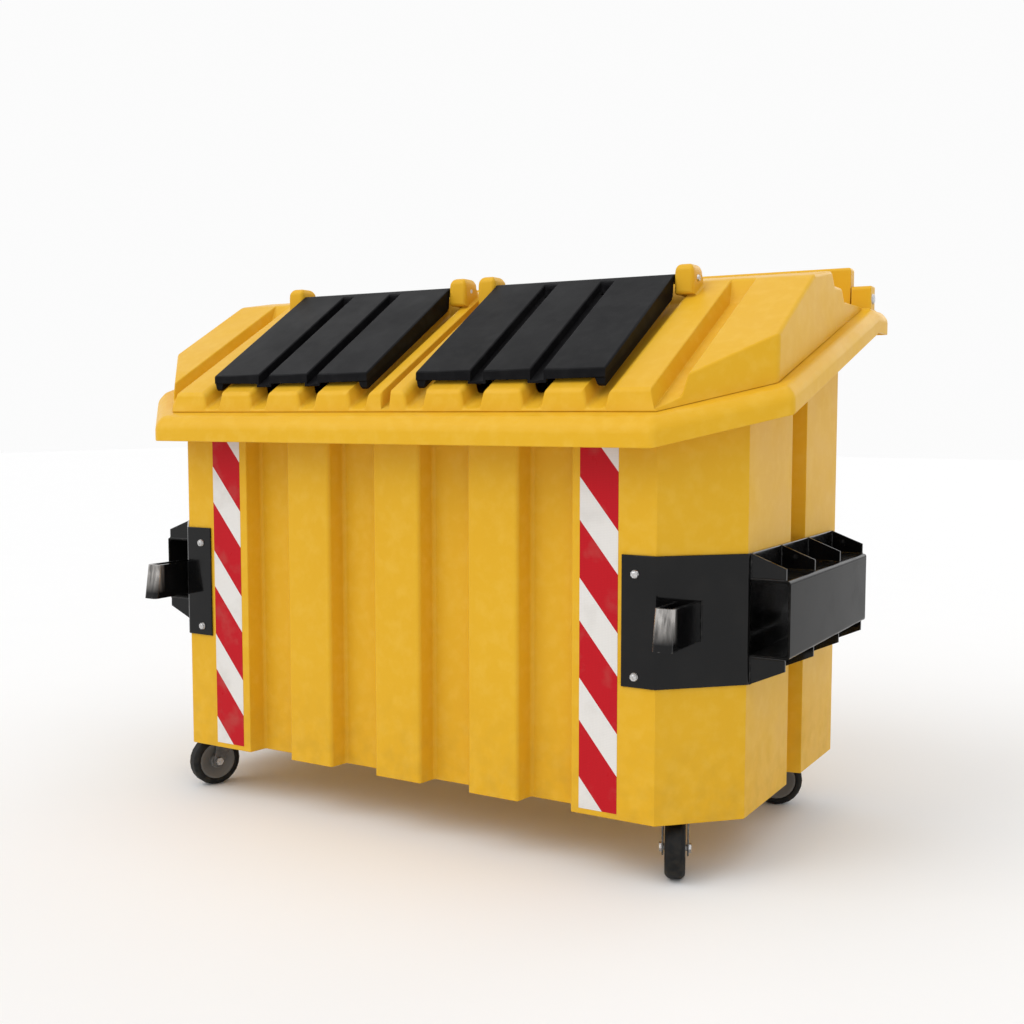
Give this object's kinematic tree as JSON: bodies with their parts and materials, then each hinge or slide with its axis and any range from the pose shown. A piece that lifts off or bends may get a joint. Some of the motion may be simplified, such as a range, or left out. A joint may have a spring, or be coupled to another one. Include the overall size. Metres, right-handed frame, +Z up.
{
  "type": "waste container",
  "caption": "Wheeled plastic waste container with a ribbed tub, fork sleeves, a hinged sloping hood and hinged filling flaps, on swivel castors.",
  "frame": {"origin": "middle of the bounding box's base, on the floor", "axes": "+X to the right along the width, +Y to the rear, +Z up"},
  "size_m": [2.058, 1.11, 1.5543],
  "materials": {
    "yellow_plastic": "satin moulded",
    "black_plastic": "satin moulded",
    "black_steel": "gloss paint",
    "zinc_steel": "bright zinc",
    "galvanised_steel": "galvanised",
    "reflective_film": "striped reflective film",
    "tyre_rubber": "matt",
    "wheel_plastic": "matt"
  },
  "bodies": {
    "tub": {"tub_shell": "yellow_plastic", "tub_rim": "yellow_plastic", "tub_floor": "yellow_plastic", "side_bracket_left": "black_steel", "side_bracket_right": "black_steel", "fork_sleeve_left": "black_steel", "fork_sleeve_right": "black_steel", "sleeve_gussets_left": "black_steel", "sleeve_gussets_right": "black_steel", "lift_hook_left": "black_steel", "lift_hook_right": "black_steel", "bracket_bolts": "zinc_steel", "reflective_tape_left": "reflective_film", "reflective_tape_right": "reflective_film", "hood_pin_left": "zinc_steel", "hood_pin_right": "zinc_steel", "castor_plate_fl": "galvanised_steel", "castor_bearing_fl": "galvanised_steel", "castor_plate_fr": "galvanised_steel", "castor_bearing_fr": "galvanised_steel", "castor_plate_rl": "galvanised_steel", "castor_bearing_rl": "galvanised_steel", "castor_plate_rr": "galvanised_steel", "castor_bearing_rr": "galvanised_steel"},
    "hood": {"hood_middle": "yellow_plastic", "hood_bay_left": "yellow_plastic", "hood_bay_right": "yellow_plastic", "hood_end_left": "yellow_plastic", "hood_end_right": "yellow_plastic", "hood_rear": "yellow_plastic", "flap_pin_left": "zinc_steel", "flap_pin_right": "zinc_steel"},
    "flap_left": {"flap_left": "black_plastic"},
    "flap_right": {"flap_right": "black_plastic"},
    "castor_fl": {"castor_fork_fl": "galvanised_steel", "castor_axle_fl": "zinc_steel"},
    "wheel_fl": {"tyre_fl": "tyre_rubber", "wheel_hub_fl": "wheel_plastic"},
    "castor_fr": {"castor_fork_fr": "galvanised_steel", "castor_axle_fr": "zinc_steel"},
    "wheel_fr": {"tyre_fr": "tyre_rubber", "wheel_hub_fr": "wheel_plastic"},
    "castor_rl": {"castor_fork_rl": "galvanised_steel", "castor_axle_rl": "zinc_steel"},
    "wheel_rl": {"tyre_rl": "tyre_rubber", "wheel_hub_rl": "wheel_plastic"},
    "castor_rr": {"castor_fork_rr": "galvanised_steel", "castor_axle_rr": "zinc_steel"},
    "wheel_rr": {"tyre_rr": "tyre_rubber", "wheel_hub_rr": "wheel_plastic"}
  },
  "joints": [
    {"name": "hood_hinge", "type": "hinge", "parent": "tub", "child": "hood", "pos_m": [0, 0.501, 1.46234], "axis": [-1, 0, 0], "range_deg": [0, 95]},
    {"name": "flap_left_hinge", "type": "hinge", "parent": "hood", "child": "flap_left", "pos_m": [-0.35145, -0.0378, 1.4895], "axis": [-1, 0, 0], "range_deg": [0, 190]},
    {"name": "flap_right_hinge", "type": "hinge", "parent": "hood", "child": "flap_right", "pos_m": [0.35145, -0.0378, 1.4895], "axis": [-1, 0, 0], "range_deg": [0, 190]},
    {"name": "castor_swivel_fl", "type": "hinge", "parent": "tub", "child": "castor_fl", "pos_m": [-0.75, -0.312, 0.18], "axis": [0, 0, 1], "continuous": true},
    {"name": "wheel_spin_fl", "type": "hinge", "parent": "castor_fl", "child": "wheel_fl", "pos_m": [-0.76498, -0.34909, 0.075], "axis": [0.9272, -0.3746, 0], "continuous": true},
    {"name": "castor_swivel_fr", "type": "hinge", "parent": "tub", "child": "castor_fr", "pos_m": [0.75, -0.312, 0.18], "axis": [0, 0, 1], "continuous": true},
    {"name": "wheel_spin_fr", "type": "hinge", "parent": "castor_fr", "child": "wheel_fr", "pos_m": [0.76498, -0.34909, 0.075], "axis": [0.9272, 0.3746, 0], "continuous": true},
    {"name": "castor_swivel_rl", "type": "hinge", "parent": "tub", "child": "castor_rl", "pos_m": [-0.75, 0.326, 0.18], "axis": [0, 0, 1], "continuous": true},
    {"name": "wheel_spin_rl", "type": "hinge", "parent": "castor_rl", "child": "wheel_rl", "pos_m": [-0.78759, 0.33968, 0.075], "axis": [-0.342, -0.9397, 0], "continuous": true},
    {"name": "castor_swivel_rr", "type": "hinge", "parent": "tub", "child": "castor_rr", "pos_m": [0.75, 0.326, 0.18], "axis": [0, 0, 1], "continuous": true},
    {"name": "wheel_spin_rr", "type": "hinge", "parent": "castor_rr", "child": "wheel_rr", "pos_m": [0.78759, 0.33968, 0.075], "axis": [-0.342, 0.9397, 0], "continuous": true}
  ]
}
